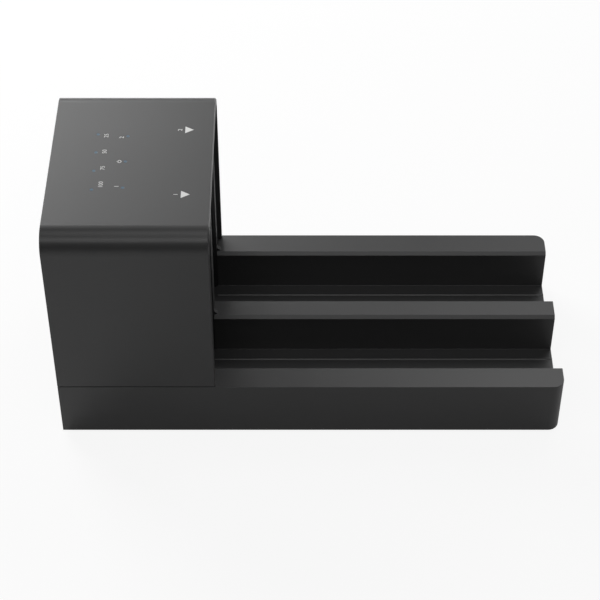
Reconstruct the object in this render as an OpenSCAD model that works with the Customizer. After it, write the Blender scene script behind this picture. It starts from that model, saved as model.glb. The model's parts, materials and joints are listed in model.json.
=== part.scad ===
// Two-bay hard drive docking station: a low tray with two drive channels and a tower that holds
// the drive sockets, the boards, the lights, the ports and the controls. Millimetres.
// Frame: +X to the open end of the tray, +Y across, +Z up, origin under the middle at the feet.

/* [Drive] */
// thickness of the largest drive
drive_t = 26.1; // [24:0.1:27]
// height of that drive standing on its long edge
drive_h = 101.6; // [100:0.1:104]
// gap each side of the drive in the tray
side_gap = 1.95; // [1.5:0.05:3]
// gap each side of the drive in the tower bay
bay_gap = 0.65; // [0.5:0.05:1]
// gap above the drive in the tower
top_gap = 1.3; // [1:0.1:3]

/* [Tray] */
// length of the tray in front of the tower
tray_l = 149.5; // [140:0.5:160]
// width of the wall along each side
outer_wall = 12.5; // [12:0.5:16]
// width of the wall between the channels
middle_wall = 11.4; // [10.9:0.5:15.4]
// height of the base and of the tray walls
base_h = 27.8; // [26:0.2:32]
// height of the channel floor over the underside
floor_h = 7.4; // [7:0.1:9]
// thickness of the channel floor
floor_t = 2.4; // [2:0.1:2.8]
// chamfer along the top of each channel
wall_chamfer = 1.4; // [0.8:0.1:2]
// radius of the upright corners at the tray end
plan_r = 4.8; // [3.6:0.1:7]
// chamfer round the lower edge of the base
base_chamfer = 0.4; // [0.3:0.1:1.2]
// distance of the floor bead from the channel wall
bead_inset = 6.25; // [4:0.25:10]
// radius of the floor bead
bead_r = 0.5; // [0.3:0.05:0.8]

/* [Tower] */
// length of the tower
tower_l = 67.5; // [66:0.5:76]
// thickness of the moulded walls
shell_t = 2.6; // [2.2:0.1:3]
// radius along the top edges of the tower
top_r = 8.8; // [6:0.1:11]
// chamfer round the front rim
rim_chamfer = 0.5; // [0.3:0.1:1.4]
// shadow gap between the tower and the base
seam_gap = 0.4; // [0.2:0.1:0.8]
// depth of the bay frame behind the front rim
frame_recess = 2; // [1.5:0.1:4]
// depth of each bay
bay_depth = 12; // [11:0.5:14]
// thickness of the wall behind the bays
frame_t = 2.4; // [2:0.1:3]
// depth of the rear panel behind the rear rim
panel_recess = 3; // [2.6:0.1:4]
// thickness of the rear panel
panel_t = 2.2; // [1.8:0.1:2.6]
// inward lip that traps the rear panel
lip_w = 1.2; // [0.8:0.1:1.6]

/* [Underside] */
// thickness of the bottom cover
cover_t = 2.4; // [2.2:0.1:2.6]
// height of the feet under the base
foot_h = 1.5; // [1:0.1:3]
// radius of a rubber foot
foot_r = 6; // [5:0.5:8]
// depth of the pocket that holds a foot
foot_pocket = 0.8; // [0.5:0.1:1.2]
// radius of the screw bosses
boss_r = 3.2; // [3:0.1:3.5]
// radius of the case screws
screw_r = 1.4; // [1.2:0.1:1.6]
// radius of the case screw heads
head_r = 2.5; // [2.2:0.1:2.7]
// height of the case screw heads
head_h = 1.3; // [1:0.1:1.3]

/* [Boards] */
// thickness of the circuit boards
board_t = 1.6; // [1.2:0.1:1.8]
// height of the main board over the floor
standoff_h = 5; // [4:0.2:6]
// height of the drive socket centre over the floor
sata_rise = 30.1; // [28:0.1:34]
// distance of the drive socket from the face of the drive
sata_inset = 3.5; // [3.4:0.1:4]
// height of the port axes over the main board
port_rise = 6.4; // [6.4:0.1:7]
// distance of the progress lights from the rear
progress_x = 18.8; // [17:0.1:20]
// spacing of the progress lights
progress_pitch = 11.8; // [10:0.1:13]
// distance of the status lights from the rear
status_x = 31.4; // [30:0.1:34]
// spacing of the status lights
status_pitch = 16.5; // [14:0.1:17]
// radius of a light where it shows
light_r = 0.7; // [0.5:0.05:1]

/* [Controls] */
// radius of the rocker about its pivot
rocker_r = 6; // [5.5:0.1:6.4]
// width of the rocker along its pivot
rocker_w = 6.6; // [6:0.1:7]
// tilt of the rocker from the middle
rocker_tilt = 7; // [5:0.5:8]
// radius of the rocker pivot pins
pivot_r = 0.9; // [0.7:0.05:1]
// radius of the copy button
button_r = 2.6; // [2:0.1:3]
// how far the copy button stands out at rest
button_out = 0.9; // [0.8:0.1:1.4]
// travel of the copy button
button_travel = 0.6; // [0.3:0.1:0.7]

/* [Hidden] */
$fn = 64;

// clearances: moulding in moulding, moving pieces, screw in its pilot, screw through a hole
fit = 0.15;
slip = 0.2;
tap = 0.03;
hole_gap = 0.25;

// overlap of cuts and joins
e = 1;

// how deep the floor beads sit in the floor
bead_sink = 0.15;

// lengths and widths that follow
L = tower_l + tray_l;
channel_w = drive_t + 2 * side_gap;
bay_w = drive_t + 2 * bay_gap;
W = 2 * outer_wall + middle_wall + 2 * channel_w;
bay_y = middle_wall / 2 + channel_w / 2;
bays = [-bay_y, bay_y];
y_in = W / 2 - shell_t;

// stations along the length
x_rear = -L / 2;
x_rim = x_rear + tower_l;
x_end = L / 2;
x_frame = x_rim - frame_recess;
x_bay = x_frame - bay_depth;
x_plane = x_bay - frame_t;
x_back = x_plane - board_t;
x_panel = x_rear + panel_recess;
x_panel_in = x_panel + panel_t;

// levels
z_base = foot_h;
z_cover = z_base + cover_t;
z_floor = z_base + floor_h;
z_deck = z_floor - floor_t;
z_seam = z_base + base_h;
z_ceiling = z_floor + drive_h + top_gap;
z_top = z_ceiling + shell_t;
head_sink = 0.1;
z_seat = z_base + head_h + head_sink;

// screw places
y_boss = y_in - fit - boss_r;
boss_rear = 14;
boss_front = 8;
x_boss = [x_rear + boss_rear, x_back - boss_front];
y_tray_screw = W / 2 - outer_wall / 2;
tray_screw_rear = 24;
tray_screw_end = 14;
x_tray_screw = [x_rim + tray_screw_rear, x_end - tray_screw_end];
y_post = (bay_y + bay_w / 2 + y_in - fit) / 2;
x_post = (x_frame + x_bay) / 2;
plane_screw_up = 62;
plane_screw_down = 14;
z_plane_screw = [z_floor + plane_screw_up, z_ceiling - plane_screw_down];
pilot_l = 8;
pilot_spare = 1;

// small screws of the boards: thread, head radius, head height, length that stays free in the pilot
small_r = 1;
small_head_r = 1.9;
small_head_h = 1.2;
screw_spare = 0.5;

// ribs inside the shells: thickness, width, how far they bite into the wall, height beside a boss
rib_t = 2;
rib_w = 3;
rib_bite = 1;
boss_rise = 16;
rib_rise = 15;
rib_down = 4;
rib_up = 8;

// feet
foot_end = 26;
foot_side = 16;
x_foot = L / 2 - foot_end;
y_foot = W / 2 - foot_side;
foot_edge = 0.6;

// main board
z_board = z_floor + standoff_h;
z_chip = z_board + board_t;
panel_gap = 0.8;
plane_gap = 0.6;
boss_gap = 1;
standoff_rear = 5;
standoff_in = 4;
x_board0 = x_panel_in + panel_gap;
x_board1 = x_back - plane_gap;
board_y = y_boss - boss_r - boss_gap;
x_standoff = [x_board0 + standoff_rear, x_board1 - standoff_in];
y_standoff = board_y - standoff_in;
z_port = z_chip + port_rise;

// light board
light_drop = 5;
z_light = z_ceiling - light_drop;
led_h = 1;
led_w = 1.6;
collar_w = 0.7;
light_rear = 11;
x_light0 = x_rear + light_rear;
light_y = 27;
light_boss = [x_rear + (progress_x + status_x) / 2, 23];
light_boss_r = 2.6;
light_pilot = 4;
x_progress = x_rear + progress_x;
x_status = x_rear + status_x;

// backplane board: clear of the sides, of the floor and of the ceiling
plane_side = 2.4;
plane_foot = 2;
plane_top = 4;

// plugs between the boards: depth, half length, height
link_d = 7;
link_half = 16;
link_h = 8.5;
light_link_d = 5.5;
light_link_half = 10.2;
light_link_h = 2.6;

// ports along the rear panel
y_jack = -24;
y_usb = -7;
y_button = 6;
y_switch = 20;
usb_w = 12.2;
usb_h = 12.8;
usb_d = 16;
usb_t = 0.4;
usb_out = 0.3;
usb_mouth_d = 10;
usb_pin_x = 2.2;
usb_pin_l = usb_mouth_d - usb_pin_x;
tongue_z = [2.85, 6.05];
upper_z = [9.3, 10.3];
jack_w = 9;
jack_d = 12;
jack_bore = 3.15;
jack_bore_d = 10;
nose_r = 4.1;
jack_pin_r = 1;
jack_pin_x = 1.6;
lug_w = 1.5;

// drive socket: height off the board, thickness, length
sata_h = 8.5;
sata_t = 5.4;
sata_l = 37.4;
sata_ear = 3.4;
ear_out = 1.6;
ear_lead = 1.2;
ear_side = 0.9;
ear_slope = 2;
sata_pitch = 1.27;
slot_w = 1.6;
slot_d = 6;
data_l = 10.2;
supply_l = 21.4;
slot_gap = 2.4;
key_w = 1;
key_l = 1.5;
contact_w = 0.7;
contact_t = 0.25;
contact_back = 0.7;
contact_shift = 0.3;
slot0 = -(data_l + slot_gap + supply_l) / 2;

// rocker and switch
flange_t = 1;
flange_w = 0.9;
pivot_depth = 1.9;
x_pivot = x_panel - flange_t + pivot_depth;
rocker_slope = 9;
rocker_waist = 2.2;
rocker_under = 1.6;
well_d = 3.2;
well_y = rocker_r + hole_gap;
well_z = rocker_w / 2 + slip;
switch_end = 0.6;
switch_cheek = 1.2;
switch_y = well_y + switch_end;
switch_z = well_z + switch_cheek;
pivot_seat = 0.8;
pivot_gap = 0.05;
pivot_l = rocker_w / 2 + slip + pivot_seat;
switch_d = 11;
switch_pin_w = 1.8;
switch_pin_t = 0.8;
switch_pin_x = 2.4;
switch_pitch = 4;
x_switch1 = x_panel + switch_d;

// copy button
button_edge = 0.4;
flange_r = button_r + 1;
flange_gap = 0.1;
flange_x = x_panel_in + flange_gap;
flange_l = 1;
plunger_r = 1.5;
plunger_in = 1;
tact_gap = 0.9;
tact_room = 0.6;
x_tact = flange_x + flange_l + button_travel + tact_gap;
tact_d = 4;
tact_half = 3.1;
tact_pin_h = 3;

// parts on the main board: sizes, and places from the board's front edge and across
bridge_size = [10, 10, 1.2];
bridge_at = [20, -2];
memory_size = [5, 4, 1.6];
memory_at = [19, 13];
crystal_size = [5, 3.2, 1];
crystal_at = [18, -8];
inductor_size = [7, 7, 4];
inductor_x = 19;
inductor_y = [-20, -28.5];
can_r = 3.15;
can_h = 7.7;
can_x = 15;
can_y = [21.5, 29.5];

module prism_x(x0, x1) {
    translate([x0, 0, 0])
        rotate([90, 0, 90])
            linear_extrude(x1 - x0)
                children();
}

module prism_y(y0, y1) {
    translate([0, y1, 0])
        rotate([90, 0, 0])
            linear_extrude(y1 - y0)
                children();
}

module rod_x(r, x0, x1) {
    translate([x0, 0, 0])
        rotate([0, 90, 0])
            cylinder(r = r, h = x1 - x0);
}

// block between two corners
module block(a, b) {
    translate(a)
        cube(b - a);
}

// flat-bottomed outline with rounded top corners, across and up
module arch(half_w, z0, z1, r) {
    translate([-half_w, z0])
        square([2 * half_w, z1 - r - z0]);
    translate([-half_w + r, z0])
        square([2 * (half_w - r), z1 - z0]);
    for (s = [-1, 1])
        translate([s * (half_w - r), z1 - r])
            circle(r);
}

// plan of the base, its corners rounded at the tray end
module plan(inset) {
    translate([x_rear + inset, -W / 2 + inset])
        square([L - plan_r - inset, W - 2 * inset]);
    translate([x_rear + inset, -W / 2 + plan_r])
        square([L - 2 * inset, W - 2 * plan_r]);
    for (s = [-1, 1])
        translate([x_end - plan_r, s * (W / 2 - plan_r)])
            circle(plan_r - inset);
}

// cut along an outside edge at the origin, c wide, first axis outward, second axis forward
module bevel(c) {
    polygon([[-c - e, e], [e, e], [e, -c - e]]);
}

// screw pointing up from the seat of its head, with a cross recess in shares of the head
module screw(r, l, hr, hh) {
    recess_l = 0.55;
    recess_w = 0.12;
    recess_d = 0.55;
    difference() {
        union() {
            cylinder(r = r, h = l);
            translate([0, 0, -hh])
                cylinder(r = hr, h = hh);
        }
        for (a = [0, 90])
            rotate([0, 0, a])
                translate([-recess_l * hr, -recess_w * hr, -hh - e])
                    cube([2 * recess_l * hr, 2 * recess_w * hr, e + recess_d * hh]);
    }
}

// cut along the lower edge of the base, round its corners at the tray end
module base_edge() {
    side = [[e, -e], [-base_chamfer - e, -e], [e, base_chamfer + e]];
    for (s = [0, 1])
        mirror([0, s, 0]) {
            prism_x(x_rear - e, x_end - plan_r)
                translate([W / 2, z_base])
                    polygon(side);
            translate([x_end - plan_r, W / 2 - plan_r, z_base])
                rotate_extrude(angle = 90)
                    translate([plan_r, 0])
                        polygon(side);
        }
    prism_y(-W / 2 + plan_r, W / 2 - plan_r)
        translate([x_end, z_base])
            polygon(side);
    mirror([1, 0, 0])
        prism_y(-W / 2 - e, W / 2 + e)
            translate([x_end, z_base])
                polygon(side);
}

module base_tray() {
    color("#39393b")
    difference() {
        union() {
            difference() {
                translate([0, 0, z_base])
                    linear_extrude(base_h)
                        plan(0);
                // drive channels and the open tub under the tower
                for (y = bays)
                    block([x_frame - e, y - channel_w / 2, z_floor],
                          [x_end + e, y + channel_w / 2, z_seam + e]);
                block([x_panel, -y_in, z_floor], [x_frame, y_in, z_seam + e]);
                block([x_rear - e, -y_in + lip_w, z_floor + lip_w],
                      [x_panel + e, y_in - lip_w, z_seam + e]);
                // chamfers along the channels
                for (y = bays, s = [-1, 1])
                    prism_x(x_frame - e, x_end + e)
                        translate([y + s * channel_w / 2, z_seam])
                            polygon([[-s * e, e], [s * (wall_chamfer + e), e],
                                     [-s * e, -wall_chamfer - e]]);
                // chamfer round the lower edge
                base_edge();
                // hollow underside and hollow walls
                translate([0, 0, z_base - e])
                    linear_extrude(z_deck - z_base + e)
                        plan(shell_t);
                for (s = [-1, 1])
                    block([x_frame + shell_t, s * (W / 2 - outer_wall / 2) - outer_wall / 2 + shell_t,
                           z_deck - e],
                          [x_end - plan_r, s * (W / 2 - outer_wall / 2) + outer_wall / 2 - shell_t,
                           z_seam - shell_t]);
                block([x_frame + shell_t, -middle_wall / 2 + shell_t, z_deck - e],
                      [x_end - shell_t, middle_wall / 2 - shell_t, z_seam - shell_t]);
            }
            // fine bead along each floor
            for (y = bays)
                translate([0, y + channel_w / 2 - bead_inset, z_floor - bead_sink])
                    rod_x(bead_r, x_frame, x_end);
            // screw bosses
            for (x = x_tray_screw, s = [-1, 1])
                translate([x, s * y_tray_screw, z_cover])
                    cylinder(r = boss_r, h = z_seam - shell_t / 2 - z_cover);
            for (x = x_boss, s = [-1, 1])
                translate([x, s * y_boss, z_cover])
                    cylinder(r = boss_r, h = z_deck - z_cover + floor_t / 2);
            // standoffs for the main board
            for (x = x_standoff, s = [-1, 1])
                translate([x, s * y_standoff, z_deck + floor_t / 2])
                    cylinder(r = boss_r, h = z_board - z_deck - floor_t / 2);
            // ribs that hold the rear panel forward of its lip
            for (s = [0, 1])
                mirror([0, s, 0])
                    block([x_panel_in + fit, y_in - rib_w + rib_bite, z_floor - floor_t / 2],
                          [x_panel_in + fit + rib_t, y_in + rib_bite, z_seam - rib_down]);
        }
        for (x = x_tray_screw, s = [-1, 1])
            translate([x, s * y_tray_screw, z_cover - e])
                cylinder(r = screw_r + tap, h = e + pilot_l + pilot_spare);
        for (x = x_boss, s = [-1, 1])
            translate([x, s * y_boss, z_cover - e])
                cylinder(r = screw_r + hole_gap, h = z_floor - z_cover + 2 * e);
        for (s = [-1, 1])
            translate([x_post, s * y_post, z_deck - e])
                cylinder(r = screw_r + hole_gap, h = floor_t + 2 * e);
        for (x = x_standoff, s = [-1, 1])
            translate([x, s * y_standoff, z_floor])
                cylinder(r = screw_r + tap, h = standoff_h + e);
    }
}

module bottom_cover() {
    color("#2c2c2e")
    difference() {
        translate([0, 0, z_base])
            linear_extrude(cover_t)
                plan(shell_t + fit);
        for (sx = [-1, 1], sy = [-1, 1])
            translate([sx * x_foot, sy * y_foot, z_base - e])
                cylinder(r = foot_r + fit, h = e + foot_pocket);
        for (x = x_tray_screw, s = [-1, 1])
            translate([x, s * y_tray_screw, z_base - e])
                screw_hole();
        for (x = x_boss, s = [-1, 1])
            translate([x, s * y_boss, z_base - e])
                screw_hole();
    }
}

module screw_hole() {
    cylinder(r = screw_r + hole_gap, h = cover_t + 2 * e);
    cylinder(r = head_r + hole_gap, h = z_seat - z_base + e);
}

module rubber_feet() {
    color("#1b1b1c")
    for (sx = [-1, 1], sy = [-1, 1])
        translate([sx * x_foot, sy * y_foot, 0])
            rotate_extrude() {
                square([foot_r - foot_edge, foot_h]);
                translate([0, foot_edge])
                    square([foot_r, foot_h + foot_pocket - foot_edge]);
                translate([foot_r - foot_edge, foot_edge])
                    circle(foot_edge);
            }
}

module tray_screws() {
    color("#3d3d40")
    for (x = x_tray_screw, s = [-1, 1])
        translate([x, s * y_tray_screw, z_seat])
            screw(screw_r, z_cover - z_seat + pilot_l, head_r, head_h);
}

module tower_screws() {
    color("#3d3d40")
    for (x = x_boss, s = [-1, 1])
        translate([x, s * y_boss, z_seat])
            screw(screw_r, z_floor - z_seat + pilot_l, head_r, head_h);
}

module tower_shell() {
    color("#4a4a4c")
    difference() {
        union() {
            difference() {
                prism_x(x_rear, x_rim)
                    arch(W / 2, z_seam, z_top, top_r);
                prism_x(x_panel, x_rim + e)
                    arch(y_in, z_seam - e, z_ceiling, top_r - shell_t);
                prism_x(x_rear - e, x_panel + e)
                    arch(y_in - lip_w, z_seam - e, z_ceiling - lip_w, top_r - shell_t - lip_w);
                // chamfer round the front rim
                for (s = [-1, 1]) {
                    translate([x_rim, s * W / 2, z_seam - e])
                        linear_extrude(z_top - top_r - z_seam + e)
                            polygon([[e, -s * (rim_chamfer + e)], [e, s * e],
                                     [-rim_chamfer - e, s * e]]);
                    translate([x_rim, s * (W / 2 - top_r), z_top - top_r])
                        rotate([0, 90, 0])
                            rotate([0, 0, s > 0 ? 90 : 180])
                                rotate_extrude(angle = 90)
                                    translate([top_r, 0])
                                        bevel(rim_chamfer);
                }
                prism_y(-(W / 2 - top_r), W / 2 - top_r)
                    translate([x_rim, z_top])
                        polygon([[e, -rim_chamfer - e], [e, e], [-rim_chamfer - e, e]]);
                // shadow gap over the base
                difference() {
                    block([x_rear - e, -W / 2 - e, z_seam - e], [x_rim + e, W / 2 + e, z_seam + seam_gap]);
                    block([x_rear + seam_gap, -W / 2 + seam_gap, z_seam - 2 * e],
                          [x_rim - seam_gap, W / 2 - seam_gap, z_seam + seam_gap + e]);
                }
            }
            // bosses that reach down to the base and ribs that tie them to the sides
            for (x = x_boss, s = [-1, 1]) {
                translate([x, s * y_boss, z_floor])
                    cylinder(r = boss_r, h = base_h - floor_h + boss_rise);
                translate([x - rib_t / 2, s > 0 ? y_boss : -y_in - shell_t / 2, z_seam + fit])
                    cube([rib_t, y_in - y_boss + shell_t / 2, rib_rise]);
            }
            // bosses for the light board
            for (s = [-1, 1])
                translate([light_boss[0], s * light_boss[1], z_light])
                    cylinder(r = light_boss_r, h = z_top - shell_t / 2 - z_light);
            // ribs that hold the rear panel forward of its lip
            for (s = [0, 1])
                mirror([0, s, 0])
                    block([x_panel_in + fit, y_in - rib_w + rib_bite, z_seam + rib_up],
                          [x_panel_in + fit + rib_t, y_in + rib_bite, z_ceiling - top_r]);
        }
        for (x = x_boss, s = [-1, 1])
            translate([x, s * y_boss, z_floor - e])
                cylinder(r = screw_r + tap, h = e + pilot_l + pilot_spare);
        for (s = [-1, 1])
            translate([light_boss[0], s * light_boss[1], z_light - e])
                cylinder(r = small_r + tap, h = e + light_pilot);
        for (i = [-1.5:1:1.5])
            translate([x_progress, i * progress_pitch, z_ceiling - e])
                cylinder(r = light_r + tap, h = shell_t + 2 * e);
        for (i = [-1:1:1])
            translate([x_status, i * status_pitch, z_ceiling - e])
                cylinder(r = light_r + tap, h = shell_t + 2 * e);
    }
}

module bay_frame() {
    half = channel_w / 2;
    lead = half - bay_w / 2;
    ramp = [2, 4.4];
    ramp_back = 0.5;
    ramp_h = 2.1;
    color("#1e1e20")
    difference() {
        union() {
            intersection() {
                prism_x(x_plane, x_frame)
                    arch(y_in - fit, z_floor, z_ceiling - fit, top_r - shell_t);
                translate([0, 0, z_floor])
                    linear_extrude(z_ceiling - z_floor)
                        difference() {
                            translate([x_plane, -W / 2])
                                square([x_frame - x_plane, W]);
                            for (y = bays)
                                translate([0, y])
                                    polygon([[x_bay, -bay_w / 2], [x_frame - lead, -bay_w / 2],
                                             [x_frame + e, -half - e], [x_frame + e, half + e],
                                             [x_frame - lead, bay_w / 2], [x_bay, bay_w / 2]]);
                        }
            }
            // small ramps where the posts stand on the tray walls
            for (y = bays)
                prism_y(y + half + ramp[0], y + half + ramp[1])
                    polygon([[x_frame - ramp_back, z_seam], [x_frame - ramp_back + ramp_h, z_seam],
                             [x_frame - ramp_back, z_seam + ramp_h]]);
        }
        // windows for the drive sockets
        for (y = bays)
            block([x_plane - e, y + drive_t / 2 - sata_inset - sata_t / 2 - slip,
                   z_floor + sata_rise - sata_l / 2 - sata_ear - slip],
                  [x_bay + e, y + drive_t / 2 - sata_inset + sata_t / 2 + slip,
                   z_floor + sata_rise + sata_l / 2 + sata_ear + slip]);
        for (z = z_plane_screw, s = [-1, 1])
            translate([0, s * y_post, z])
                rod_x(small_r + tap, x_plane - e, x_plane + pilot_l);
        for (s = [-1, 1])
            translate([x_post, s * y_post, z_floor - e])
                cylinder(r = screw_r + tap, h = e + pilot_l + pilot_spare);
    }
}

module frame_screws() {
    color("#8b8c90")
    for (s = [-1, 1])
        translate([x_post, s * y_post, z_deck])
            screw(screw_r, floor_t + pilot_l, head_r, head_h);
}

module rear_panel() {
    color("#232325")
    difference() {
        prism_x(x_panel, x_panel_in)
            arch(y_in - fit, z_floor, z_ceiling - fit, top_r - shell_t);
        block([x_panel - e, y_usb - usb_w / 2 - slip, z_port - usb_h / 2 - slip],
              [x_panel_in + e, y_usb + usb_w / 2 + slip, z_port + usb_h / 2 + slip]);
        translate([0, y_jack, z_port])
            rod_x(nose_r + slip, x_panel - e, x_panel_in + e);
        translate([0, y_button, z_port])
            rod_x(button_r + slip, x_panel - e, x_panel_in + e);
        block([x_panel - e, y_switch - switch_y - fit, z_port - switch_z - fit],
              [x_panel_in + e, y_switch + switch_y + fit, z_port + switch_z + fit]);
    }
}

module backplane_board() {
    color("#1f5a34")
    difference() {
        block([x_back, -y_in + plane_side, z_floor + plane_foot],
              [x_plane, y_in - plane_side, z_ceiling - plane_top]);
        for (z = z_plane_screw, s = [-1, 1])
            translate([0, s * y_post, z])
                rod_x(small_r + hole_gap, x_back - e, x_plane + e);
    }
}

module backplane_screws() {
    color("#a5a6aa")
    for (z = z_plane_screw, s = [-1, 1])
        translate([x_back, s * y_post, z])
            rotate([0, 90, 0])
                screw(small_r, board_t + pilot_l - screw_spare, small_head_r, small_head_h);
}

// drive socket on its board: two L-shaped slots, the data slot below the supply slot
module drive_socket(y) {
    yc = y + drive_t / 2 - sata_inset;
    x1 = x_plane + sata_h;
    color("#161617")
    translate([0, yc, z_floor + sata_rise])
        difference() {
            union() {
                block([x_plane, -sata_t / 2, -sata_l / 2], [x1, sata_t / 2, sata_l / 2]);
                for (s = [-1, 1])
                    prism_y(-sata_t / 2 + ear_side, sata_t / 2 - ear_side)
                        polygon([[x_plane, s * (sata_l / 2 - e)], [x1 + ear_out, s * (sata_l / 2 - e)],
                                 [x1 + ear_out, s * (sata_l / 2 + sata_ear - ear_lead)],
                                 [x1 + ear_out - ear_slope, s * (sata_l / 2 + sata_ear)],
                                 [x_plane, s * (sata_l / 2 + sata_ear)]]);
            }
            for (p = [[slot0, data_l], [slot0 + data_l + slot_gap, supply_l]]) {
                block([x1 - slot_d, -slot_w / 2, p[0]], [x1 + e, slot_w / 2, p[0] + p[1]]);
                block([x1 - slot_d, -slot_w / 2 - key_w, p[0]], [x1 + e, slot_w / 2, p[0] + key_l]);
            }
        }
}

module source_socket() {
    drive_socket(bays[0]);
}

module target_socket() {
    drive_socket(bays[1]);
}

// flat contacts along one side of both slots
module socket_contacts(y) {
    yc = y + drive_t / 2 - sata_inset;
    x1 = x_plane + sata_h;
    color("#c8a24a")
    translate([0, yc, z_floor + sata_rise])
        for (g = [[slot0 + data_l / 2, 7], [slot0 + data_l + slot_gap + supply_l / 2, 15]])
            for (i = [0:g[1] - 1])
                translate([x1 - slot_d, slot_w / 2 - contact_t,
                           g[0] + contact_shift + (i - (g[1] - 1) / 2) * sata_pitch - contact_w / 2])
                    cube([slot_d - contact_back, contact_t, contact_w]);
}

module source_contacts() {
    socket_contacts(bays[0]);
}

module target_contacts() {
    socket_contacts(bays[1]);
}

module main_board() {
    color("#1f5a34")
    difference() {
        block([x_board0, -board_y, z_board], [x_board1, board_y, z_chip]);
        for (x = x_standoff, s = [-1, 1])
            translate([x, s * y_standoff, z_board - e])
                cylinder(r = screw_r + hole_gap, h = board_t + 2 * e);
    }
}

module main_board_screws() {
    color("#a5a6aa")
    for (x = x_standoff, s = [-1, 1])
        translate([x, s * y_standoff, z_chip])
            rotate([180, 0, 0])
                screw(screw_r, board_t + standoff_h - screw_spare, head_r, head_h);
}

module board_link() {
    color("#1a1a1b")
    block([x_back - link_d, -link_half, z_chip], [x_back, link_half, z_chip + link_h]);
}

module light_board() {
    color("#1f5a34")
    difference() {
        block([x_light0, -light_y, z_light - board_t], [x_back - plane_gap, light_y, z_light]);
        for (s = [-1, 1])
            translate([light_boss[0], s * light_boss[1], z_light - board_t - e])
                cylinder(r = small_r + hole_gap, h = board_t + 2 * e);
    }
}

module light_board_screws() {
    color("#a5a6aa")
    for (s = [-1, 1])
        translate([light_boss[0], s * light_boss[1], z_light - board_t])
            screw(small_r, board_t + light_pilot - screw_spare, small_head_r, small_head_h);
}

module light_link() {
    color("#1a1a1b")
    block([x_back - light_link_d, -light_link_half, z_light - board_t - light_link_h],
          [x_back, light_link_half, z_light - board_t]);
}

module indicator_leds() {
    color("#e6eef6") {
        for (i = [-1.5:1:1.5])
            translate([x_progress - led_w / 2, i * progress_pitch - led_w / 2, z_light])
                cube([led_w, led_w, led_h]);
        for (i = [-1:1:1])
            translate([x_status - led_w / 2, i * status_pitch - led_w / 2, z_light])
                cube([led_w, led_w, led_h]);
    }
}

// clear pipe from a light up to the face of the shell, with a collar under the shell
module light_pipe() {
    translate([0, 0, z_light + led_h])
        cylinder(r = light_r + collar_w, h = z_ceiling - z_light - led_h);
    translate([0, 0, z_ceiling])
        cylinder(r = light_r, h = shell_t);
}

module progress_light_pipes() {
    color("#9fc4dc")
    for (i = [-1.5:1:1.5])
        translate([x_progress, i * progress_pitch, 0])
            light_pipe();
}

module status_light_pipes() {
    color("#9fc4dc")
    for (i = [-1:1:1])
        translate([x_status, i * status_pitch, 0])
            light_pipe();
}

module usb_shell() {
    foot_x = [8, 11];
    foot_t = 1;
    foot_down = 2;
    color("#b9bbbf")
    translate([0, y_usb, z_port]) {
        difference() {
            block([x_panel - usb_out, -usb_w / 2, -usb_h / 2], [x_panel + usb_d, usb_w / 2, usb_h / 2]);
            block([x_panel - usb_out - e, -usb_w / 2 + usb_t, -usb_h / 2 + usb_t],
                  [x_panel + usb_d + e, usb_w / 2 - usb_t, usb_h / 2 - usb_t]);
        }
        // feet of the shell on the board
        for (s = [0, 1])
            mirror([0, s, 0])
                block([x_panel + foot_x[0], usb_w / 2 - usb_t / 2, z_chip - z_port],
                      [x_panel + foot_x[1], usb_w / 2 + foot_t, -foot_down]);
    }
}

// mouth of the port: a wide lower part with cut upper corners, a narrow part above it
module usb_mouth(h) {
    wide = 4.25;
    narrow = 2.85;
    shoulder = 3;
    levels = [0.55, 7.1, 8.35, 11];
    polygon([[-wide, levels[0] - h], [wide, levels[0] - h], [wide, levels[1] - h],
             [shoulder, levels[2] - h], [narrow, levels[2] - h], [narrow, levels[3] - h],
             [-narrow, levels[3] - h], [-narrow, levels[2] - h], [-shoulder, levels[2] - h],
             [-wide, levels[1] - h]]);
}

module usb_insert() {
    hw = usb_w / 2 - usb_t;
    hh = usb_h / 2 - usb_t;
    face_in = 0.1;
    back_in = 0.5;
    tongue_x = 1.2;
    tongue_half = 2.8;
    upper_x = 1.8;
    upper_half = 2.4;
    color("#1d3f8a")
    translate([0, y_usb, z_port])
        difference() {
            block([x_panel + face_in, -hw, -hh], [x_panel + usb_d - back_in, hw, hh]);
            difference() {
                prism_x(x_panel - e, x_panel + usb_mouth_d)
                    usb_mouth(hh);
                // tongues that carry the contacts
                block([x_panel + tongue_x, -tongue_half, tongue_z[0] - hh],
                      [x_panel + usb_mouth_d + e, tongue_half, tongue_z[1] - hh]);
                block([x_panel + upper_x, -upper_half, upper_z[0] - hh],
                      [x_panel + usb_mouth_d + e, upper_half, upper_z[1] - hh]);
            }
        }
}

module usb_contacts() {
    hh = usb_h / 2 - usb_t;
    wide = 1;
    wide_t = 0.2;
    wide_pitch = 2.5;
    fine = 0.5;
    fine_t = 0.15;
    fine_pitch = 0.9;
    color("#c8a24a")
    translate([x_panel + usb_pin_x, y_usb, z_port - hh]) {
        for (s = [-1, 1], z = [tongue_z[0] - wide_t, tongue_z[1]])
            translate([0, s * wide_pitch / 2 - wide / 2, z])
                cube([usb_pin_l, wide, wide_t]);
        for (i = [-2:2])
            translate([0, i * fine_pitch - fine / 2, upper_z[0] - fine_t])
                cube([usb_pin_l, fine, fine_t]);
    }
}

module power_jack_body() {
    color("#151516")
    difference() {
        union() {
            block([x_panel_in + fit, y_jack - jack_w / 2, z_chip],
                  [x_panel_in + jack_d, y_jack + jack_w / 2, z_port + jack_w / 2]);
            translate([0, y_jack, z_port])
                rod_x(nose_r, x_panel, x_panel_in + e);
        }
        translate([0, y_jack, z_port])
            rod_x(jack_bore, x_panel - e, x_panel + jack_bore_d);
    }
}

module power_jack_pin() {
    color("#d2d3d6")
    translate([0, y_jack, z_port]) {
        rod_x(jack_pin_r, x_panel + jack_pin_x, x_panel + jack_bore_d);
        translate([x_panel + jack_pin_x, 0, 0])
            sphere(jack_pin_r);
    }
}

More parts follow.
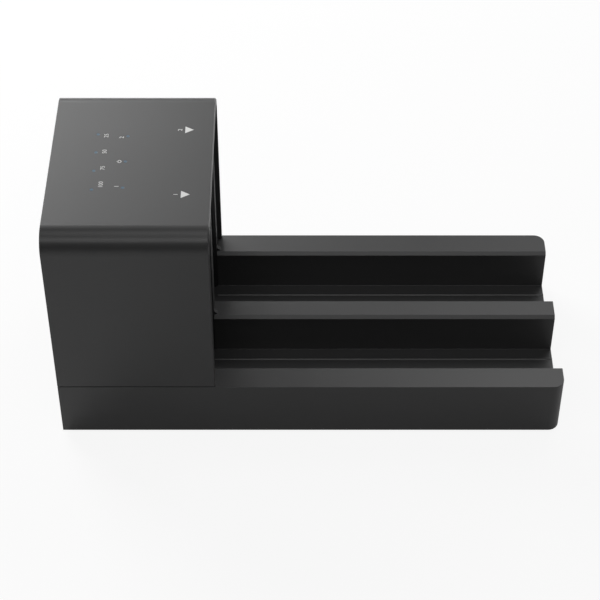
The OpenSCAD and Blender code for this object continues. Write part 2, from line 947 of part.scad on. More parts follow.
module power_jack_lugs() {
    lug_x = [4, 7];
    lug_t = 0.6;
    color("#d2d3d6")
    for (s = [-1, 1])
        block([x_panel_in + lug_x[0], y_jack + s * (jack_w + lug_w) / 2 - lug_w / 2, z_chip],
              [x_panel_in + lug_x[1], y_jack + s * (jack_w + lug_w) / 2 + lug_w / 2, z_chip + lug_t]);
}

module power_switch_body() {
    color("#18181a")
    translate([0, y_switch, z_port])
        difference() {
            union() {
                block([x_panel - flange_t, -switch_y - flange_w, -switch_z - flange_w],
                      [x_panel, switch_y + flange_w, switch_z + flange_w]);
                block([x_panel - flange_t / 2, -switch_y, -switch_z], [x_switch1, switch_y, switch_z]);
            }
            block([x_panel - flange_t - e, -well_y, -well_z], [x_pivot + well_d, well_y, well_z]);
            translate([x_pivot, 0, -pivot_l - slip])
                cylinder(r = pivot_r + pivot_gap, h = 2 * (pivot_l + slip));
        }
}

module power_switch_pins() {
    color("#d2d3d6")
    for (i = [-1, 0, 1])
        block([x_switch1 - switch_pin_x, y_switch + i * switch_pitch - switch_pin_w / 2, z_chip],
              [x_switch1 - switch_pin_x + switch_pin_t, y_switch + i * switch_pitch + switch_pin_w / 2,
               z_port - switch_z]);
}

// rocker tilted to its off side, its ends round about the pivot
module power_rocker() {
    rise = (rocker_r + e) * tan(rocker_slope);
    color("#1c1c1e")
    translate([x_pivot, y_switch, z_port])
        rotate([0, 0, rocker_tilt]) {
            translate([0, 0, -rocker_w / 2])
                intersection() {
                    cylinder(r = rocker_r, h = rocker_w);
                    linear_extrude(rocker_w)
                        polygon([[rocker_under, -rocker_r - e], [rocker_under, rocker_r + e],
                                 [-rocker_waist - rise, rocker_r + e], [-rocker_waist, 0],
                                 [-rocker_waist - rise, -rocker_r - e]]);
                }
            translate([0, 0, -pivot_l])
                cylinder(r = pivot_r, h = 2 * pivot_l);
        }
}

module copy_button() {
    cap_l = flange_x + flange_l - x_panel + button_out;
    color("#2a2a2c")
    translate([0, y_button, z_port])
        union() {
            translate([x_panel - button_out, 0, 0])
                rotate([0, 90, 0])
                    rotate_extrude() {
                        square([button_r - button_edge, cap_l]);
                        translate([0, button_edge])
                            square([button_r, cap_l - button_edge]);
                        translate([button_r - button_edge, button_edge])
                            circle(button_edge);
                    }
            rod_x(flange_r, flange_x, flange_x + flange_l);
        }
}

module copy_switch_plunger() {
    color("#c9c3b2")
    translate([0, y_button, z_port])
        rod_x(plunger_r, flange_x + flange_l, x_tact + plunger_in);
}

module copy_switch_body() {
    color("#202021")
    difference() {
        block([x_tact, y_button - tact_half, z_chip],
              [x_tact + tact_d, y_button + tact_half, z_port + tact_half]);
        translate([0, y_button, z_port])
            rod_x(plunger_r + slip / 2, x_tact - e, x_tact + plunger_in + button_travel + tact_room);
    }
}

module copy_switch_pins() {
    pin_x = [1.4, 2.6];
    pin_t = 0.8;
    color("#d2d3d6")
    for (s = [-1, 1])
        block([x_tact + pin_x[0], y_button + s * (tact_half + pin_t / 2) - pin_t / 2, z_chip],
              [x_tact + pin_x[1], y_button + s * (tact_half + pin_t / 2) + pin_t / 2, z_chip + tact_pin_h]);
}

module bridge_chip() {
    color("#1a1a1c")
    translate([x_board1 - bridge_at[0], bridge_at[1], z_chip])
        cube(bridge_size);
}

module memory_chip() {
    color("#1a1a1c")
    translate([x_board1 - memory_at[0], memory_at[1], z_chip])
        cube(memory_size);
}

module crystal() {
    color("#bcbdc0")
    translate([x_board1 - crystal_at[0], crystal_at[1], z_chip])
        cube(crystal_size);
}

module inductors() {
    color("#3a3a3d")
    for (y = inductor_y)
        translate([x_board1 - inductor_x, y, z_chip])
            cube(inductor_size);
}

module filter_capacitors() {
    color("#c3c4c8")
    for (y = can_y)
        translate([x_board1 - can_x, y, z_chip])
            cylinder(r = can_r, h = can_h);
}

base_tray();
bottom_cover();
rubber_feet();
tray_screws();
tower_screws();
tower_shell();
bay_frame();
frame_screws();
rear_panel();
backplane_board();
backplane_screws();
source_socket();
target_socket();
source_contacts();
target_contacts();
main_board();
main_board_screws();
board_link();
light_board();
light_board_screws();
light_link();
indicator_leds();
progress_light_pipes();
status_light_pipes();
usb_shell();
usb_insert();
usb_contacts();
power_jack_body();
power_jack_pin();
power_jack_lugs();
power_switch_body();
power_switch_pins();
power_rocker();
copy_button();
copy_switch_plunger();
copy_switch_body();
copy_switch_pins();
bridge_chip();
memory_chip();
crystal();
inductors();
filter_capacitors();
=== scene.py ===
"""The looks of a two-bay hard drive docking station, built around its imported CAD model, in metres."""
import json
import math

import bmesh
import bpy
from mathutils import Matrix, Vector


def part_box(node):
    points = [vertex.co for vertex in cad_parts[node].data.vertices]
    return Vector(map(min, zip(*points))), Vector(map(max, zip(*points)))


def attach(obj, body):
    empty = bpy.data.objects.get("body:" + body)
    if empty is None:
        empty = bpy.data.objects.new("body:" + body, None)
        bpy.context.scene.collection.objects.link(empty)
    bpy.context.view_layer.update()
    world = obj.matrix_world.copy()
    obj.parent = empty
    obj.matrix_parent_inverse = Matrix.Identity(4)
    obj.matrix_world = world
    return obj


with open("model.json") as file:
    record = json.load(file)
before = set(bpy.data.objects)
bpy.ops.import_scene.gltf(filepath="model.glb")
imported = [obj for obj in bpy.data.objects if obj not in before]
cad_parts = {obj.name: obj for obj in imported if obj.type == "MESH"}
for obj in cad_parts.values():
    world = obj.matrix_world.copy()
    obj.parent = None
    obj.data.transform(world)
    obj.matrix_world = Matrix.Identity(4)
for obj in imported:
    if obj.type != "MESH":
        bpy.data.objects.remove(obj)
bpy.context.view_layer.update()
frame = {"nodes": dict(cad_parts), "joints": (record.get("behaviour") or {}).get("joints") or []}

# Studio camera
# A long lens stands in front of the long side and looks down on the dock at a steep angle.
# Its axis sits a little left of the picture's middle, which a small shift of the lens allows.
CAMERA_PLACE = (-0.0060, -0.5766, 0.5985)
CAMERA_PITCH = 44.378
CAMERA_LENS = 108.94
CAMERA_SHIFT = 0.0045
CAMERA_SENSOR = 36
CAMERA_NEAREST = 0.01

camera = bpy.data.objects.new("studio_camera", bpy.data.cameras.new("studio_camera"))
camera.location = CAMERA_PLACE
camera.rotation_euler = (math.radians(90 - CAMERA_PITCH), 0, 0)
camera.data.sensor_width = CAMERA_SENSOR
camera.data.lens = CAMERA_LENS
camera.data.shift_x = CAMERA_SHIFT
camera.data.clip_start = CAMERA_NEAREST
bpy.context.scene.collection.objects.link(camera)
bpy.context.scene.camera = camera
bpy.context.scene.view_settings.view_transform = "Standard"


# Studio light
# Soft boxes on stands round the dock: a low key and a higher one behind its left end, which the tower
# keeps off the tray beside it, a strip straight behind, two weaker ones behind its right end, and
# one overhead and one over the front, which reach the floors of the channels.
LIGHT_AIM = Vector((0, 0, 0.05))


def softbox(name, azimuth, elevation, distance, size, watts):
    """A soft box seen from the dock at azimuth (0 is straight behind) and elevation, in degrees."""
    turn = math.radians(azimuth)
    rise = math.radians(elevation)
    toward = Vector((math.sin(turn) * math.cos(rise), math.cos(turn) * math.cos(rise), math.sin(rise)))
    lamp = bpy.data.lights.new(name, "AREA")
    lamp.shape = "RECTANGLE"
    lamp.size, lamp.size_y = size
    lamp.energy = watts
    stand = bpy.data.objects.new(name, lamp)
    stand.location = LIGHT_AIM + toward * distance
    stand.rotation_euler = (-toward).to_track_quat("-Z", "Y").to_euler()
    stand.visible_camera = False
    bpy.context.scene.collection.objects.link(stand)


softbox("key_softbox", azimuth=-40, elevation=17, distance=1.0, size=(0.6, 0.3), watts=10.8)
softbox("back_softbox", azimuth=-28, elevation=36, distance=1.2, size=(0.8, 0.3), watts=3.4)
softbox("back_strip", azimuth=5, elevation=20, distance=1.2, size=(1.4, 0.12), watts=0.8)
softbox("low_right_softbox", azimuth=30, elevation=10, distance=1.0, size=(0.5, 0.3), watts=1.7)
softbox("right_softbox", azimuth=35, elevation=54, distance=1.0, size=(0.5, 0.35), watts=1.8)
softbox("top_softbox", azimuth=180, elevation=84, distance=1.0, size=(0.6, 0.4), watts=1.2)
softbox("front_softbox", azimuth=178, elevation=52, distance=1.0, size=(0.8, 0.3), watts=1.75)


# Studio floor
# A sheet of white board under the dock. The camera, and glass, see it nearly full white, gloss
# mirrors it in part, and the soft boxes still lay the dock's shadow on it.
class Socket:
    """One output of a shader node. Sums and products of values add Math nodes."""

    def __init__(self, tree, output=None):
        self.tree = tree
        self.output = output

    def feed(self, node, sockets):
        """Sets each input of a node to a value, or links it to another socket."""
        for name, value in sockets.items():
            if isinstance(value, Socket):
                self.tree.links.new(value.output, node.inputs[name])
            else:
                node.inputs[name].default_value = value

    def node(self, kind, settings=None, sockets=None, give=0):
        """Adds a node, its settings first and its inputs after, and returns one of its outputs."""
        made = self.tree.nodes.new(kind)
        for name, value in (settings or {}).items():
            setattr(made, name, value)
        self.feed(made, sockets or {})
        return Socket(self.tree, made.outputs[give])

    def maths(self, operation, first, second):
        return self.node("ShaderNodeMath", {"operation": operation}, {0: first, 1: second})

    def __add__(self, other):
        return self.maths("ADD", self, other)

    def __radd__(self, other):
        return self.maths("ADD", other, self)

    def __mul__(self, other):
        return self.maths("MULTIPLY", self, other)

    def __rmul__(self, other):
        return self.maths("MULTIPLY", other, self)


def new_finish(name):
    """A node material with its shader: the material, a bare socket on its tree, the shader."""
    material = bpy.data.materials.new(name)
    material.use_nodes = True
    tree = material.node_tree
    return material, Socket(tree), tree.nodes["Principled BSDF"]


def own_white(sheet, shown, mirrored):
    """How much of its own white a sheet shows, to the eye and through glass, and how much in gloss."""
    eye_ray = sheet.node("ShaderNodeLightPath", give="Is Camera Ray")
    glass_ray = sheet.node("ShaderNodeLightPath", give="Is Transmission Ray")
    gloss_ray = sheet.node("ShaderNodeLightPath", give="Is Glossy Ray")
    return sheet.maths("MINIMUM", (eye_ray + glass_ray) * shown + gloss_ray * mirrored, shown)


FLOOR_SIZE = 8.0
FLOOR_WHITE = (0.8, 0.8, 0.8, 1)
FLOOR_SHOWN = 0.9
FLOOR_MIRRORED = 0.12
FLOOR_ROUGH = 0.85
FIBRE_ROUGH = 0.1
FIBRE_SCALE = 60.0

floor_mesh = bpy.data.meshes.new("studio_floor")
half = FLOOR_SIZE / 2
floor_mesh.from_pydata(
    [(-half, -half, 0), (half, -half, 0), (half, half, 0), (-half, half, 0)], [], [(0, 1, 2, 3)]
)
floor = bpy.data.objects.new("studio_floor", floor_mesh)
bpy.context.scene.collection.objects.link(floor)
floor_board, sheet, floor_shader = new_finish("white_board")
fibre = sheet.node("ShaderNodeTexNoise", sockets={"Scale": FIBRE_SCALE, "Detail": 4.0})
sheet.feed(floor_shader, {"Base Color": FLOOR_WHITE, "Roughness": FLOOR_ROUGH + fibre * FIBRE_ROUGH})
glow = sheet.node("ShaderNodeEmission", sockets={"Color": (1, 1, 1, 1), "Strength": 1.0})
lit = Socket(sheet.tree, floor_shader.outputs["BSDF"])
board = sheet.node(
    "ShaderNodeMixShader", sockets={0: own_white(sheet, FLOOR_SHOWN, FLOOR_MIRRORED), 1: lit, 2: glow}
)
sheet.feed(sheet.tree.nodes["Material Output"], {"Surface": board})
floor_mesh.materials.append(floor_board)

# Studio walls
# The room beyond the board: white to look at and through glass, faint in gloss, and dark for the
# light that it throws on the dock.
WALL_SHOWN = 1.0
WALL_MIRRORED = 0.1

room = bpy.data.worlds.new("studio_room")
room.use_nodes = True
bpy.context.scene.world = room
walls = Socket(room.node_tree)
wall_colour = walls.node(
    "ShaderNodeMix",
    {"data_type": "RGBA"},
    {0: own_white(walls, WALL_SHOWN, WALL_MIRRORED), 6: (0, 0, 0, 1), 7: (1, 1, 1, 1)},
    give=2,
)
walls.feed(room.node_tree.nodes["Background"], {"Color": wall_colour})


# Base tray
# One black ABS moulding with a satin, spark-eroded skin: three hollow walls, two channels that
# carry the drives on edge, a fine bead on each channel floor and the tub under the tower.
CASE_BLACK = (0.0375, 0.0375, 0.0380, 1)
CASE_PALE = (0.0430, 0.0430, 0.0435, 1)
CASE_ROUGH = 0.36
CASE_GRAIN = 0.00022
CASE_RELIEF = 0.000004
CASE_EDGE = 0.00012
EDGE_TURN = 35
EDGE_STEPS = 3
FLAT_TURN = 0.3
JOIN_REACH = 1e-6
FLOW_SCALE = 28.0
FLOW_SHARE = 0.6
PIT_SHARE = 0.4
GLOSS_SPREAD = 0.08


def ease_edges(radius, *nodes):
    """Rounds the edges of pieces that turn by more than EDGE_TURN, and keeps the flats beside them flat."""
    for node in nodes:
        piece = frame["nodes"][node]
        joined = piece.modifiers.new("joined", "WELD")
        joined.merge_threshold = JOIN_REACH
        flats = piece.modifiers.new("flats", "DECIMATE")
        flats.decimate_type = "DISSOLVE"
        flats.angle_limit = math.radians(FLAT_TURN)
        eased = piece.modifiers.new("eased", "BEVEL")
        eased.width = radius
        eased.segments = EDGE_STEPS
        eased.limit_method = "ANGLE"
        eased.angle_limit = math.radians(EDGE_TURN)
        eased.harden_normals = True
        eased.use_clamp_overlap = False
        eased.loop_slide = False
        shading = piece.modifiers.new("shading", "WEIGHTED_NORMAL")
        shading.keep_sharp = True


def dress(material, *nodes):
    """Gives pieces of the CAD model their finish."""
    for node in nodes:
        frame["nodes"][node].material_slots[0].material = material


def mixed(skin, share, first, second):
    """A colour between two, by a share that changes over the surface."""
    return skin.node("ShaderNodeMix", {"data_type": "RGBA"}, {0: share, 6: first, 7: second}, give=2)


def moulded_plastic(name, colour, pale_colour, roughness, grain, relief):
    """Spark-eroded plastic: grain is the size of its fine pits and relief their height, in metres."""
    material, skin, shader = new_finish(name)
    place = skin.node("ShaderNodeTexCoord", give="Object")
    pits = skin.node("ShaderNodeTexNoise", sockets={"Vector": place, "Scale": 1 / grain, "Detail": 3.0})
    flow = skin.node("ShaderNodeTexNoise", sockets={"Vector": place, "Scale": FLOW_SCALE, "Detail": 4.0})
    bump = skin.node("ShaderNodeBump", sockets={"Strength": 0.5, "Distance": relief, "Height": pits})
    skin.feed(shader, {
        "Base Color": mixed(skin, flow * FLOW_SHARE + pits * PIT_SHARE, colour, pale_colour),
        "Roughness": roughness - GLOSS_SPREAD + pits * GLOSS_SPREAD + flow * GLOSS_SPREAD,
        "Normal": bump,
    })
    return material


case_plastic = moulded_plastic(
    "satin_case_black", CASE_BLACK, CASE_PALE,
    roughness=CASE_ROUGH, grain=CASE_GRAIN, relief=CASE_RELIEF,
)
dress(case_plastic, "base_tray")
ease_edges(CASE_EDGE, "base_tray")

# Main board
# A glass-fibre board under green solder mask, its copper tracks just showing through the mask,
# held on four standoffs of the tray by zinc-plated screws. A plug joins it to the upright board.
MASK_GREEN = (0.008, 0.062, 0.026, 1)
TRACK_GREEN = (0.018, 0.120, 0.048, 1)
TRACK_SCALE = 260.0
TRACK_WIDTH = 0.03
TRACK_RELIEF = 0.00003
TRACK_OFFSET = 0.35
TRACK_SHARE = 0.8
WEAVE_SCALE = 2500.0
WEAVE_SHARE = 0.2
MASK_ROUGH = 0.26
WEAVE_ROUGH = 0.16
ZINC = (0.62, 0.63, 0.65, 1)
ZINC_DULL = (0.42, 0.43, 0.45, 1)
LINE_RELIEF = 0.000006
LINE_SHARE = 0.5
LINE_ROUGH = 0.1
STAIN_SCALE = 500.0
STAIN_SHARE = 0.5
STAIN_ROUGH = 0.06
PLUG_BLACK = (0.012, 0.012, 0.012, 1)
PLUG_PALE = (0.020, 0.020, 0.020, 1)


def laminate(name, across, along):
    """Green circuit board: across and along are the letters of the two axes that its tracks follow."""
    material, skin, shader = new_finish(name)
    place = skin.node("ShaderNodeTexCoord", give="Object")
    flat = skin.node("ShaderNodeCombineXYZ", sockets={
        "X": skin.node("ShaderNodeSeparateXYZ", sockets={0: place}, give=across),
        "Y": skin.node("ShaderNodeSeparateXYZ", sockets={0: place}, give=along),
    })
    tracks = skin.node("ShaderNodeTexBrick", {"offset": TRACK_OFFSET}, {
        "Vector": flat, "Scale": TRACK_SCALE, "Mortar Size": TRACK_WIDTH, "Mortar Smooth": 0.2,
    }, give="Fac")
    weave = skin.node("ShaderNodeTexNoise", sockets={"Vector": place, "Scale": WEAVE_SCALE, "Detail": 2.0})
    bump = skin.node("ShaderNodeBump", sockets={
        "Strength": 0.6, "Distance": TRACK_RELIEF, "Height": tracks,
    })
    skin.feed(shader, {
        "Base Color": mixed(skin, tracks * TRACK_SHARE + weave * WEAVE_SHARE, MASK_GREEN, TRACK_GREEN),
        "Roughness": MASK_ROUGH + weave * WEAVE_ROUGH,
        "Normal": bump,
    })
    return material


def drawn_metal(name, colour, dull_colour, roughness, run):
    """Metal with fine lines from its drawing or turning: run is how many cross each axis in a metre."""
    material, skin, shader = new_finish(name)
    place = skin.node("ShaderNodeTexCoord", give="Object")
    along = skin.node("ShaderNodeVectorMath", {"operation": "MULTIPLY"}, {0: place, 1: run})
    lines = skin.node("ShaderNodeTexNoise", sockets={"Vector": along, "Scale": 1.0, "Detail": 3.0})
    stain = skin.node("ShaderNodeTexNoise", sockets={"Vector": place, "Scale": STAIN_SCALE, "Detail": 3.0})
    bump = skin.node("ShaderNodeBump", sockets={
        "Strength": 0.3, "Distance": LINE_RELIEF, "Height": lines,
    })
    skin.feed(shader, {
        "Base Color": mixed(skin, lines * LINE_SHARE + stain * STAIN_SHARE, colour, dull_colour),
        "Metallic": 1.0,
        "Roughness": roughness - (LINE_ROUGH + STAIN_ROUGH) / 2 + lines * LINE_ROUGH + stain * STAIN_ROUGH,
        "Normal": bump,
    })
    return material


flat_board = laminate("flat_board_green", "X", "Y")
dress(flat_board, "main_board")
zinc = drawn_metal("zinc_screw", ZINC, ZINC_DULL, roughness=0.36, run=(3000, 3000, 9000))
dress(zinc, "main_board_screws")
plug_plastic = moulded_plastic(
    "plug_black", PLUG_BLACK, PLUG_PALE, roughness=0.48, grain=0.0003, relief=0.000006
)
dress(plug_plastic, "board_link")

# Chips and coils
# The parts soldered to the main board: two chips in black epoxy on bent tinned legs, a crystal in
# its pressed can, two ferrite coils and two electrolytic capacitors in bare aluminium cans.
EPOXY_BLACK = (0.016, 0.016, 0.017, 1)
EPOXY_PALE = (0.028, 0.028, 0.029, 1)
FERRITE = (0.040, 0.039, 0.041, 1)
FERRITE_PALE = (0.066, 0.065, 0.066, 1)
ALUMINIUM = (0.72, 0.73, 0.75, 1)
ALUMINIUM_DULL = (0.56, 0.57, 0.59, 1)
TIN = (0.66, 0.66, 0.67, 1)
TIN_DULL = (0.47, 0.47, 0.49, 1)
LEG_WIDTH = 0.00028
LEG_THICK = 0.00014
LEG_HEIGHT = 0.0006
LEG_REACH = 0.0009
LEG_KNEE = 0.35
LEG_HEEL = 0.55
LEG_SPREAD = 0.9
# legs on a side, and the sides that have them, in degrees from +X
LEG_ROWS = {"bridge_chip": (12, (0, 90, 180, 270)), "memory_chip": (4, (90, 270))}

epoxy = moulded_plastic(
    "chip_epoxy", EPOXY_BLACK, EPOXY_PALE, roughness=0.55, grain=0.00012, relief=0.000005
)
dress(epoxy, "bridge_chip", "memory_chip")
coil_ferrite = moulded_plastic(
    "coil_ferrite", FERRITE, FERRITE_PALE, roughness=0.62, grain=0.0002, relief=0.00001
)
dress(coil_ferrite, "inductors")
can_metal = drawn_metal("drawn_can", ALUMINIUM, ALUMINIUM_DULL, roughness=0.3, run=(2000, 2000, 9000))
dress(can_metal, "crystal", "filter_capacitors")
tinned = drawn_metal("tinned_copper", TIN, TIN_DULL, roughness=0.34, run=(6000, 6000, 1500))


def chip_leg(mesh, place):
    """One leg that leaves the chip level, bends down and ends in a flat foot on the board."""
    sole = LEG_THICK / 2
    line = [(0, LEG_HEIGHT), (LEG_KNEE, LEG_HEIGHT), (LEG_HEEL, sole), (1, sole)]
    rows = []
    for reach, level in line:
        section = []
        for side, lift in ((-1, -1), (1, -1), (1, 1), (-1, 1)):
            spot = Vector((reach * LEG_REACH, side * LEG_WIDTH / 2, level + lift * LEG_THICK / 2))
            section.append(mesh.verts.new(place @ spot))
        rows.append(section)
    for first, second in zip(rows, rows[1:]):
        for k in range(4):
            mesh.faces.new((first[k], first[(k + 1) % 4], second[(k + 1) % 4], second[k]))
    mesh.faces.new(rows[0][::-1])
    mesh.faces.new(rows[-1])


def new_piece(name, mesh, material):
    """Turns a bmesh into an object of the scene with its finish."""
    bmesh.ops.recalc_face_normals(mesh, faces=mesh.faces)
    data = bpy.data.meshes.new(name)
    mesh.to_mesh(data)
    mesh.free()
    data.materials.append(material)
    piece = bpy.data.objects.new(name, data)
    bpy.context.scene.collection.objects.link(piece)
    return piece


legs = bmesh.new()
for chip, (count, sides) in LEG_ROWS.items():
    low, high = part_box(chip)
    middle = (low + high) / 2
    for side in sides:
        turned = Matrix.Rotation(math.radians(side), 4, "Z")
        out = (high - middle).x if side % 180 == 0 else (high - middle).y
        across = (high - low).y if side % 180 == 0 else (high - low).x
        for k in range(count):
            shift = ((k + 0.5) / count - 0.5) * across * LEG_SPREAD
            spot = Matrix.Translation((middle.x, middle.y, low.z)) @ turned
            chip_leg(legs, spot @ Matrix.Translation((out, shift, 0)))
chip_legs = new_piece("chip_legs", legs, tinned)
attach(chip_legs, "dock")

# USB port
# A square port at the rear: a folded nickel-plated steel shell on feet soldered to the board, a blue
# insert with two tongues, and gold-plated contacts along the tongues.
NICKEL = (0.60, 0.59, 0.57, 1)
NICKEL_DULL = (0.46, 0.45, 0.44, 1)
PORT_BLUE = (0.010, 0.050, 0.240, 1)
PORT_BLUE_PALE = (0.018, 0.070, 0.300, 1)
GOLD = (0.83, 0.58, 0.22, 1)
GOLD_DULL = (0.66, 0.45, 0.17, 1)
PORT_EDGE = 0.00008

nickel = drawn_metal("nickel_shell", NICKEL, NICKEL_DULL, roughness=0.3, run=(700, 9000, 9000))
dress(nickel, "usb_shell")
port_plastic = moulded_plastic(
    "port_blue", PORT_BLUE, PORT_BLUE_PALE, roughness=0.42, grain=0.0003, relief=0.000005
)
dress(port_plastic, "usb_insert")
gold = drawn_metal("contact_gold", GOLD, GOLD_DULL, roughness=0.3, run=(900, 9000, 9000))
dress(gold, "usb_contacts")
ease_edges(PORT_EDGE, "usb_shell")

# Power inlet
# A round inlet with a centre pin: a black moulding on the main board with its nose in the rear
# panel, a tinned brass pin with a round tip and two tinned solder lugs.
INLET_EDGE = 0.00012

dress(plug_plastic, "power_jack_body")
dress(tinned, "power_jack_pin", "power_jack_lugs")
ease_edges(INLET_EDGE, "power_jack_body")

# Power switch
# The housing of the rocker switch: a black moulding with a thin flange over the rear panel, on
# three tinned pins in the main board.
SWITCH_EDGE = 0.00015

dress(plug_plastic, "power_switch_body")
dress(tinned, "power_switch_pins")
ease_edges(SWITCH_EDGE, "power_switch_body")

# Copy switch
# A small tact switch behind the copy button: a black case on two tinned pins and an acetal plunger
# that the button pushes in.
ACETAL = (0.52, 0.49, 0.41, 1)
ACETAL_PALE = (0.60, 0.57, 0.49, 1)

dress(plug_plastic, "copy_switch_body")
dress(tinned, "copy_switch_pins")
acetal = moulded_plastic(
    "plunger_acetal", ACETAL, ACETAL_PALE, roughness=0.4, grain=0.0003, relief=0.000004
)
dress(acetal, "copy_switch_plunger")

# Upright board and drive sockets
# A green board behind the bays, screwed to the bay frame, with one drive socket in each bay: a
# glass-filled black moulding with two keyed slots and a row of gold-plated contacts in each.
SOCKET_BLACK = (0.009, 0.009, 0.0095, 1)
SOCKET_PALE = (0.017, 0.017, 0.0175, 1)
SOCKET_EDGE = 0.00012

dress(laminate("upright_board_green", "Z", "Y"), "backplane_board")
dress(zinc, "backplane_screws")
socket_plastic = moulded_plastic(
    "socket_black", SOCKET_BLACK, SOCKET_PALE, roughness=0.5, grain=0.00025, relief=0.000008
)
dress(socket_plastic, "source_socket", "target_socket")
dress(gold, "source_contacts", "target_contacts")
ease_edges(SOCKET_EDGE, "source_socket", "target_socket")

# Bay frame
# A black moulding screwed into the front of the tower: three posts with tall bays between them,
# duller than the case. Its colour is darker than the case's: partly its own black, partly painted
# shade for the dark inside of the bays.
# These colours are darker than the moulding's own black, as painted shade inside the bays.
FRAME_BLACK_WITH_SHADE = (0.006, 0.006, 0.0064, 1)
FRAME_PALE_WITH_SHADE = (0.0085, 0.0085, 0.009, 1)
FRAME_EDGE = 0.00012

frame_plastic_and_shade = moulded_plastic(
    "dull_inner_black_painted_shade", FRAME_BLACK_WITH_SHADE, FRAME_PALE_WITH_SHADE, roughness=0.65, grain=0.0004, relief=0.000008
)
dress(frame_plastic_and_shade, "bay_frame")
dress(zinc, "frame_screws")
ease_edges(FRAME_EDGE, "bay_frame")

# Rear panel
# A flat black moulding that drops into a groove of the tray and the tower, with cut-outs for the
# ports and the controls.
PANEL_BLACK = (0.020, 0.020, 0.0204, 1)
PANEL_PALE = (0.025, 0.025, 0.0254, 1)
PANEL_EDGE = 0.0002

panel_plastic = moulded_plastic(
    "matt_panel_black", PANEL_BLACK, PANEL_PALE, roughness=0.48, grain=0.0004, relief=0.000008
)
dress(panel_plastic, "rear_panel")
ease_edges(PANEL_EDGE, "rear_panel")

# Power rocker
# A gloss black rocker that tips on two small pins in its switch, with a bar and a ring printed in
# white on its two halves.
ROCKER_BLACK = (0.010, 0.010, 0.0105, 1)
ROCKER_PALE = (0.014, 0.014, 0.0145, 1)
ROCKER_EDGE = 0.00015
ROCKER_TILT = 7
ROCKER_SLOPE = 9
ROCKER_WAIST = 0.0022
MARK_FROM_WAIST = 0.0031
BAR_HALF = (0.00018, 0.0011)
RING_RADIUS = (0.00075, 0.0011)
INK_WHITE = (0.78, 0.78, 0.77, 1)
INK_WORN = (0.70, 0.70, 0.69, 1)
INK_LAYER = (-0.00001, 0.00002)
INK_ROUGH = 0.45
COVER_ROUGH = 0.15
COVER_SCALE = 2600.0
ROUND_STEPS = 48

rocker_plastic = moulded_plastic(
    "gloss_rocker_black", ROCKER_BLACK, ROCKER_PALE, roughness=0.2, grain=0.0006, relief=0.000002
)
dress(rocker_plastic, "power_rocker")
ease_edges(ROCKER_EDGE, "power_rocker")


def printed_outline(mesh, place, points):
    """Adds a flat shape in ink: its outline on the surface, as thick as the layer of ink."""
    low, high = ([mesh.verts.new(place @ Vector((x, y, z))) for x, y in points] for z in INK_LAYER)
    for k in range(len(points)):
        j = (k + 1) % len(points)
        mesh.faces.new((low[k], low[j], high[j], high[k]))
    mesh.faces.new(low[::-1])
    mesh.faces.new(high)


def printed_ring(mesh, place, inner, outer, start=0, sweep=360):
    """Adds a ring in ink, or an arc of one from a start angle, in degrees."""
    low, high = INK_LAYER
    corners = ((inner, low), (outer, low), (outer, high), (inner, high))
    steps = round(ROUND_STEPS * sweep / 360)
    whole = sweep == 360
    rows = []
    for k in range(steps if whole else steps + 1):
        turn = math.radians(start + sweep * k / steps)
        rows.append([
            mesh.verts.new(place @ Vector((radius * math.cos(turn), radius * math.sin(turn), z)))
            for radius, z in corners
        ])
    for first, second in zip(rows, rows[1:] + (rows[:1] if whole else [])):
        for k in range(4):
            mesh.faces.new((first[k], first[(k + 1) % 4], second[(k + 1) % 4], second[k]))
    if not whole:
        mesh.faces.new(rows[0][::-1])
        mesh.faces.new(rows[-1])


def ink(name):
    """White pad-printing ink: thin, satin and a little uneven."""
    material, skin, shader = new_finish(name)
    place = skin.node("ShaderNodeTexCoord", give="Object")
    cover = skin.node("ShaderNodeTexNoise", sockets={"Vector": place, "Scale": COVER_SCALE, "Detail": 3.0})
    skin.feed(shader, {
        "Base Color": mixed(skin, cover, INK_WHITE, INK_WORN),
        "Roughness": INK_ROUGH + cover * COVER_ROUGH,
    })
    return material


white_ink = ink("white_ink")
hinge = next(joint for joint in frame["joints"] if joint["name"] == "power_rocker_hinge")
rocker_place = Matrix.Translation(hinge["pos_m"]) @ Matrix.Rotation(math.radians(ROCKER_TILT), 4, "Z")
slope = math.radians(ROCKER_SLOPE)
rocker_marks = bmesh.new()
for side in (-1, 1):
    along = Vector((-math.sin(slope), side * math.cos(slope), 0))
    outward = Vector((-math.cos(slope), -side * math.sin(slope), 0))
    spot = Vector((-ROCKER_WAIST, 0, 0)) + along * MARK_FROM_WAIST
    face = Matrix.Identity(4)
    for column, axis in enumerate((along, Vector((0, 0, 1)), outward, spot)):
        face.col[column][:3] = axis
    place = rocker_place @ face
    if side > 0:
        x, y = BAR_HALF
        printed_outline(rocker_marks, place, [(-x, -y), (x, -y), (x, y), (-x, y)])
    else:
        printed_ring(rocker_marks, place, *RING_RADIUS)
rocker_print = new_piece("rocker_marks", rocker_marks, white_ink)
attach(rocker_print, "power_rocker")

# Copy button
# A matt black ABS cap through the rear panel. A flange behind the panel keeps it in, and the plunger
# of the copy switch brings it back out.
BUTTON_BLACK = (0.020, 0.020, 0.021, 1)
BUTTON_PALE = (0.030, 0.030, 0.031, 1)

button_plastic = moulded_plastic(
    "matt_button_black", BUTTON_BLACK, BUTTON_PALE, roughness=0.55, grain=0.0003, relief=0.00001
)
dress(button_plastic, "copy_button")

# Light board and lights
# A small board under the top of the tower with seven white chip lights, screwed to two bosses and
# plugged to the upright board. A milky acrylic pipe carries each light up to the top face.
LAMP_WHITE = (0.72, 0.73, 0.70, 1)
LAMP_YELLOW = (0.70, 0.62, 0.30, 1)
PIPE_BLUE = (0.030, 0.085, 0.140, 1)
PIPE_PALE = (0.045, 0.110, 0.170, 1)

